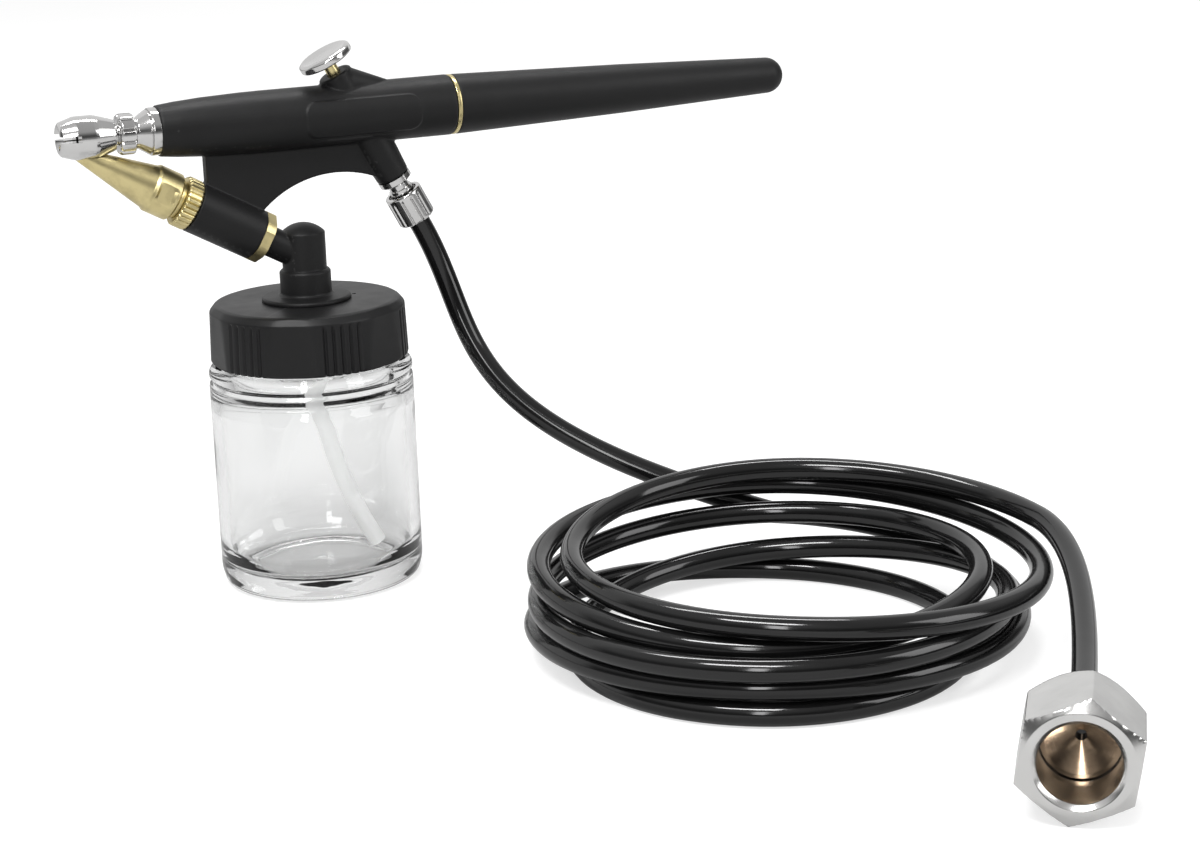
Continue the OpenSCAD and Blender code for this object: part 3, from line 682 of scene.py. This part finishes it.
def lid_shape(angle, r, z):
    """Six groups of grooves with a flat between each two."""
    if r < lid_r - 2.2:
        return r
    half_pitch = 180 / LID_GROUPS
    turn = math.degrees(angle) - LID_GROUP_START
    in_group = (turn + half_pitch) % (2 * half_pitch) - half_pitch
    flat = LID_FLAT / math.cos(math.radians(half_pitch - abs(in_group)))
    r = soft_min(r, flat - max(0, z - lid_to + 1.3) * 0.75, 0.15)
    nearest = round(in_group / LID_STEP)
    if abs(nearest) <= LID_GROOVES // 2:
        share = abs(in_group - nearest * LID_STEP) / 1.5
        if share < 1:
            r -= 0.42 * math.cos(share * math.pi / 2) ** 1.5 * ease((lid_to - 1.5 - z) / 0.3)
    return r


lid = rounded(
    [(2.95, lid_to), (2.95, lid_to - 1.5), (16.1, lid_to - 1.5), (16.1, lid_from), (lid_r - 0.35, lid_from),
     (lid_r, lid_from + 0.4), (lid_r - 0.3, lid_to - 1.3), (lid_r - 1.2, lid_to - 0.2), (lid_r - 2, lid_to)],
    0.25, 4, True)
VENT_R, VENT_AT = 8.9, math.radians(-3)
vent = Vector((VENT_R * math.cos(VENT_AT), VENT_R * math.sin(VENT_AT), 0)) * MM
vent_axis = Axis(vent, (0, 0, 1))
lid_body = lathe("lid_moulding", jar_axis, dense(lid, 0.6), 720, lid_shape, True)
drill = lathe("drill", vent_axis, [(0, lid_to - 3), (0.4, lid_to - 3), (0.4, lid_to + 1), (0, lid_to + 1)], 24)
finish_piece(cut(lid_body, drill), "jar_lid", 35)

SIPHON_R, SIPHON_BORE = 1.6, 0.95
SIPHON_TOP, SIPHON_END, SIPHON_BEND = 46.9, 4.8, 85
siphon_path = [Vector((0, 0, z)) * MM for z in (50.2, 49, 48)]
bend = math.asin((SIPHON_TOP - SIPHON_END) / SIPHON_BEND)
for k in range(41):
    a = bend * k / 40
    bent = (SIPHON_BEND * (1 - math.cos(a)), 0, SIPHON_TOP - SIPHON_BEND * math.sin(a))
    siphon_path.append(Vector(bent) * MM)
finish_piece(sweep("siphon_hose", siphon_path, SIPHON_R, 32, SIPHON_BORE), "siphon_tube", 40)

# ---------------------------------------------------------------- supply nut

SUPPLY_FLAT, SUPPLY_BORE = 8.5, 6
SUPPLY_ROLL = 8.5
supply_corner = SUPPLY_FLAT / math.cos(math.radians(30))
supply_len = reach("supply_nut", supply_axis, 1)


def supply_shape(angle, r, z):
    """A rounded hexagon, cut back at both ends by a cone."""
    if r < 7:
        return r
    hexagon = polygon_radius(angle - math.radians(SUPPLY_ROLL - 90), SUPPLY_FLAT, 6, 160)
    return soft_min(r, hexagon, 0.12)


supply = [(SUPPLY_BORE, 9.15), (SUPPLY_BORE, 0.75), (SUPPLY_BORE + 0.75, 0), (7.75, 0), (7.95, 0.05),
          (supply_corner + 0.15, 1.25), (supply_corner + 0.15, supply_len - 2.9),
          (supply_corner - 1.4, supply_len), (2.05, supply_len), (2.05, 12.6),
          (SUPPLY_BORE + 0.25, 12.6), (SUPPLY_BORE + 0.25, 9.15)]
supply = dense(rounded(supply, 0.12, 3, True), 0.5)
finish_piece(lathe("supply_nut_turning", supply_axis, supply, 720, supply_shape, True), "supply_nut", 25)

# ---------------------------------------------------------------- hose

HOSE_R = 2
COIL_AT, COIL_R, COIL_TURN = (55, -76), (38.5, 35.5), math.radians(-28)
COIL_TURNS = 5.2
STEPS_PER_TURN = 110
# How far the hose holds its direction at the gun, into the coil, out of the coil and at the nut
GUN_REACH, COIL_REACH, TAIL_REACH, NUT_REACH = 26, 62, 17, 30
GUN_RISE = 16
# One row for each turn, met at its back, right, front and left: how far the strand lies outside the
# coil's ellipse, and how high it rides above the floor, as in the CAD
COIL_OUT = [(5.2, 2.4, 1.2, 1.9), (0, -6.5, 1.4, -5), (-1.6, 0.2, 3.9, 1), (1, -4, -1, 1.2),
            (4.2, 6, 0.4, -4.6), (0.2, 10.5)]
COIL_RISE = [(9, 4, 4.1, 3.2), (0, 0, 0, 0), (4.1, 8, 8.1, 8), (10.4, 11.8, 9.7, 13),
             (15, 11.4, 13.8, 15.4), (18.7, 15.4)]


def through(rows, x):
    """Value at x on a smooth curve through the numbers of a table, which stand at x = 0, 1, 2 and so on."""
    values = [v for row in rows for v in row]
    i = min(math.floor(x + 1e-9), len(values) - 2)
    t = x - i
    a, b, c, d = (values[max(0, min(len(values) - 1, k))] for k in range(i - 1, i + 3))
    return b + t / 2 * (c - a + t * (2 * a - 5 * b + 4 * c - d + t * (3 * b - a - 3 * c + d)))


def coil_point(s):
    a = math.pi / 2 - 2 * math.pi * s
    out = through(COIL_OUT, 4 * s)
    across, over = (COIL_R[0] + out) * math.cos(a), (COIL_R[1] + out) * math.sin(a)
    cos, sin = math.cos(COIL_TURN), math.sin(COIL_TURN)
    return Vector((COIL_AT[0] + across * cos - over * sin, COIL_AT[1] + across * sin + over * cos,
                   HOSE_R + 0.05 + through(COIL_RISE, 4 * s)))


def bezier(points, steps):
    """Points along a cubic curve."""
    result = []
    for k in range(steps + 1):
        t = k / steps
        weights = ((1 - t) ** 3, 3 * t * (1 - t) ** 2, 3 * t * t * (1 - t), t ** 3)
        result.append(sum((p * w for p, w in zip(points, weights)), Vector()))
    return result


tiny = 0.001
first, last = coil_point(0), coil_point(COIL_TURNS)
first_dir = (coil_point(tiny) - first).normalized()
last_dir = (last - coil_point(COIL_TURNS - tiny)).normalized()
from_gun = valve_axis.point(nut_to + 1) / MM
lead_from = from_gun + GUN_REACH * valve_axis.direction
lead_to = first - COIL_REACH * first_dir + Vector((0, 0, GUN_RISE))
lead = bezier([from_gun, lead_from, lead_to, first], 120)
to_nut = supply_axis.point(supply_len + 1) / MM
tail_from, tail_to = last + TAIL_REACH * last_dir, to_nut + NUT_REACH * supply_axis.direction
tail = bezier([last, tail_from, tail_to, to_nut], 60)
count = round(COIL_TURNS * STEPS_PER_TURN)
coil = [coil_point(COIL_TURNS * k / count) for k in range(1, count)]
hose_path = [valve_axis.point(18.6) / MM] + lead + coil + tail + [supply_axis.point(13.1) / MM]
hose = sweep("air_hose", [p * MM for p in hose_path], HOSE_R, 24)
finish_piece(hose, "hose", 50)

# ---------------------------------------------------------------- CAD nodes carried over

for node in NODES:
    if NODES[node].hide_render:
        continue
    carried = NODES[node]
    carried.data.materials.clear()
    carried.data.materials.append(material_for(node))
    set_smooth(carried.data, 30)

# ---------------------------------------------------------------- stage, light and camera

# How bright the sheet glows to the camera and in mirrors, and how bright sheet and room look through glass
SHEET_GLOW, SHEET_MIRRORED = 0.64, 0.1
SHEET_THROUGH_GLASS, ROOM_THROUGH_GLASS = 0.22, 0.85


def facing_share(tree, direction, bright):
    """Bright for rays that leave along the camera's view and dark for rays bent well away from it."""
    turn = add_node(tree, "ShaderNodeVectorTransform", vector_type="VECTOR")
    turn.convert_from, turn.convert_to = "WORLD", "CAMERA"
    tree.links.new(direction, turn.inputs["Vector"])
    split = add_node(tree, "ShaderNodeSeparateXYZ")
    tree.links.new(turn.outputs["Vector"], split.inputs["Vector"])
    size = add_node(tree, "ShaderNodeMath", operation="ABSOLUTE")
    tree.links.new(split.outputs["Z"], size.inputs[0])
    return ramp(tree, size.outputs["Value"], 0.1, 0.9, [bright / 4] * 3, [bright] * 3)


def by_ray(tree, path, kind, inside, outside):
    """One colour for rays of a kind, another for the rest."""
    node = add_node(tree, "ShaderNodeMix", data_type="RGBA")
    tree.links.new(path.outputs[kind], node.inputs["Factor"])
    for socket, value in (("B", inside), ("A", outside)):
        if isinstance(value, float):
            node.inputs[socket].default_value = (value, value, value, 1)
        else:
            tree.links.new(value, node.inputs[socket])
    return node.outputs["Result"]


def stage_material():
    """Sheet that the camera sees as white, with soft shadows, and that metal mirrors as grey."""
    material, tree, shader = new_material("floor_sheet")
    path = add_node(tree, "ShaderNodeLightPath")
    incoming = add_node(tree, "ShaderNodeNewGeometry").outputs["Incoming"]
    paper = ramp(tree, noise(tree, 3, 2), 0.2, 0.8, (0.42, 0.42, 0.42), (0.45, 0.45, 0.45))
    tree.links.new(paper, shader.inputs["Base Color"])
    shader.inputs["Roughness"].default_value = 0.8
    shader.inputs["Specular IOR Level"].default_value = 0
    seen = by_ray(tree, path, "Is Camera Ray", SHEET_GLOW, 0.0)
    seen = by_ray(tree, path, "Is Glossy Ray", SHEET_MIRRORED, seen)
    through_glass = facing_share(tree, incoming, SHEET_THROUGH_GLASS)
    seen = by_ray(tree, path, "Is Transmission Ray", through_glass, seen)
    tree.links.new(seen, shader.inputs["Emission Color"])
    shader.inputs["Emission Strength"].default_value = 1
    return material


FLOOR = 4
floor_mesh = bpy.data.meshes.new("floor")
floor_corners = [(x * FLOOR, y * FLOOR, 0) for x, y in ((-1, -1), (1, -1), (1, 1), (-1, 1))]
floor_mesh.from_pydata(floor_corners, [], [(0, 1, 2, 3)])
floor = bpy.data.objects.new("floor", floor_mesh)
bpy.context.scene.collection.objects.link(floor)
floor.data.materials.append(stage_material())


def area_light(name, place, target, size, power):
    light = bpy.data.lights.new(name, "AREA")
    light.shape = "RECTANGLE"
    light.size, light.size_y = size
    light.energy = power
    lamp = bpy.data.objects.new(name, light)
    bpy.context.scene.collection.objects.link(lamp)
    place, target = Vector(place), Vector(target)
    lamp.location = place
    lamp.rotation_euler = (target - place).to_track_quat("-Z", "Y").to_euler()
    return lamp


area_light("key", (-0.35, -0.45, 0.9), (0.03, -0.05, 0.03), (0.5, 0.16), 7)
area_light("top", (0.1, 0.3, 1.0), (0.05, -0.05, 0.0), (0.7, 0.12), 5)
area_light("front", (-0.42, -0.75, 0.4), (0.06, -0.1, 0.02), (0.12, 0.4), 1.4)
area_light("fill", (0.75, -0.75, 0.5), (0.06, -0.05, 0.03), (0.5, 0.7), 4)

world = bpy.data.worlds.new("studio")
bpy.context.scene.world = world
world.use_nodes = True
wt = world.node_tree
background = wt.nodes["Background"]
direction = add_node(wt, "ShaderNodeTexCoord").outputs["Generated"]
split = add_node(wt, "ShaderNodeSeparateXYZ")
wt.links.new(direction, split.inputs["Vector"])


def bands(source, stops):
    """Grey levels at stops from -1 to 1 of one direction component."""
    level = add_node(wt, "ShaderNodeMapRange")
    level.inputs["From Min"].default_value = -1
    wt.links.new(source, level.inputs["Value"])
    node = add_node(wt, "ShaderNodeValToRGB")
    elements = node.color_ramp.elements
    for element, (place, value) in zip(elements, (stops[0], stops[-1])):
        element.position, element.color = (place + 1) / 2, (value, value, value, 1)
    for place, value in stops[1:-1]:
        elements.new((place + 1) / 2).color = (value, value, value, 1)
    wt.links.new(level.outputs["Result"], node.inputs["Fac"])
    return node.outputs["Color"]


# What metal and gloss mirror: a pale ceiling over dark walls, and a white screen behind the object
ceiling = bands(split.outputs["Z"], [(-0.02, 0.4), (0.04, 0.36), (0.12, 0.12), (0.28, 0.1), (0.42, 0.32),
                                     (0.6, 0.62), (1, 0.7)])
walls = bands(split.outputs["X"], [(-1, 1), (-0.35, 0.95), (0.1, 0.62), (0.45, 0.75), (1, 0.95)])
mirrored = add_node(wt, "ShaderNodeMix", data_type="RGBA", blend_type="MULTIPLY")
mirrored.inputs["Factor"].default_value = 1
wt.links.new(ceiling, mirrored.inputs["A"])
wt.links.new(walls, mirrored.inputs["B"])
screen = add_node(wt, "ShaderNodeMix", data_type="RGBA", blend_type="MULTIPLY")
screen.inputs["Factor"].default_value = 1
wt.links.new(bands(split.outputs["Y"], [(-1, 0), (0.3, 0), (0.5, 0.85), (1, 0.85)]), screen.inputs["A"])
wt.links.new(bands(split.outputs["Z"], [(-1, 0), (0.02, 0), (0.08, 1), (1, 1)]), screen.inputs["B"])
room = add_node(wt, "ShaderNodeMix", data_type="RGBA", blend_type="LIGHTEN")
room.inputs["Factor"].default_value = 1
wt.links.new(mirrored.outputs["Result"], room.inputs["A"])
wt.links.new(screen.outputs["Result"], room.inputs["B"])
path = add_node(wt, "ShaderNodeLightPath")
seen = by_ray(wt, path, "Is Diffuse Ray", 0.55, 1.0)
seen = by_ray(wt, path, "Is Glossy Ray", room.outputs["Result"], seen)
through_glass = facing_share(wt, direction, ROOM_THROUGH_GLASS)
seen = by_ray(wt, path, "Is Transmission Ray", through_glass, seen)
wt.links.new(seen, background.inputs["Color"])
background.inputs["Strength"].default_value = 1

camera_at = Vector((-0.1382, -0.4427, 0.1506))
look_at = Vector((0.0574, 0, 0.0191))
roll = math.radians(-1.85)
lens = bpy.data.cameras.new("camera")
lens.sensor_width = 36
lens.lens = 77.6
lens.clip_start = 0.01
camera = bpy.data.objects.new("camera", lens)
bpy.context.scene.collection.objects.link(camera)
forward = (look_at - camera_at).normalized()
level = forward.cross(Vector((0, 0, 1))).normalized()
upward = level.cross(forward)
right = level * math.cos(roll) + upward * math.sin(roll)
up = upward * math.cos(roll) - level * math.sin(roll)
camera.matrix_world = Matrix.Translation(camera_at) @ Matrix((right, up, -forward)).transposed().to_4x4()
bpy.context.scene.camera = camera
bpy.context.scene.view_settings.view_transform = "Standard"
